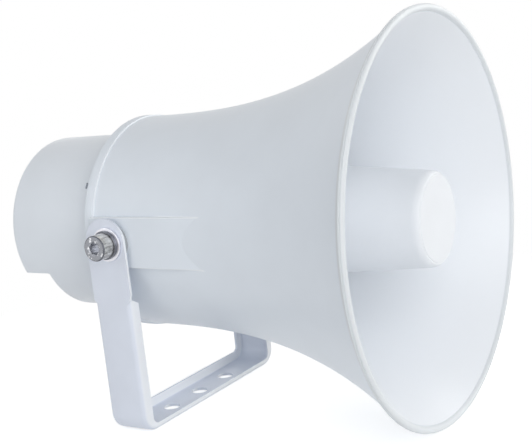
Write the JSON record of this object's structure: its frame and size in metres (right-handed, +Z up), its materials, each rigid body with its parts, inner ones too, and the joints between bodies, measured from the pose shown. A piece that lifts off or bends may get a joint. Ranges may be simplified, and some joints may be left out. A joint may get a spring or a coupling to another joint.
{
  "type": "pa horn speaker",
  "caption": "Re-entrant public address horn: flared round bell with reflector cup and rear driver cover, tilting on a U bracket.",
  "frame": {"origin": "underside of the bracket's base at its middle fixing hole", "axes": "+X out of the mouth, along the horn axis; +Z up from the base to the tilt pivot; Y along the pivot and the row of fixing holes"},
  "size_m": [0.2467, 0.21, 0.21],
  "materials": {
    "white_plastic": "semi-gloss moulded ABS",
    "white_paint": "smooth white powder coat on steel",
    "stainless": "plain stainless steel",
    "screw_steel": "zinc plated",
    "plated_steel": "zinc plated",
    "black_rubber": "matt",
    "black_plastic": "moulded nylon",
    "phenolic": "resin-bonded sheet",
    "copper": null,
    "ferrite": "dark sintered ferrite",
    "laminations": "stacked silicon steel",
    "brass": "turned and knurled"
  },
  "bodies": {
    "bracket": {"bracket": "white_paint"},
    "horn": {"bell": "white_plastic", "tone_arm": "white_plastic", "reflector_cup": "white_plastic", "rear_cover": "white_plastic", "tone_arm_screws": "screw_steel", "driver_screws": "screw_steel", "cover_screws": "screw_steel", "transformer_screws": "screw_steel", "throat_gasket": "black_rubber", "cover_gasket": "black_rubber", "gland_seal": "black_rubber", "friction_washers": "black_rubber", "driver_front": "black_plastic", "phase_plug": "black_plastic", "cable_gland": "black_plastic", "gland_cap": "black_plastic", "gland_nut": "black_plastic", "terminal_block": "phenolic", "surround": "phenolic", "transformer_winding": "copper", "top_plate": "plated_steel", "back_plate": "plated_steel", "transformer_strap": "plated_steel", "magnet": "ferrite", "transformer_core": "laminations", "pivot_bolts": "stainless", "spring_washers": "stainless", "flat_washers": "stainless", "pivot_inserts": "brass"},
    "diaphragm": {"diaphragm": "phenolic", "voice_coil": "copper"}
  },
  "joints": [
    {"name": "tilt", "type": "hinge", "parent": "bracket", "child": "horn", "pos_m": [0.0026, 0, 0.105], "axis": [0, 1, 0], "range_deg": [-210, 40]},
    {"name": "diaphragm_travel", "type": "slide", "parent": "horn", "child": "diaphragm", "axis": [1, 0, 0], "range_m": [-0.0003, 0.0003], "stiffness_N_per_m": 3000}
  ]
}
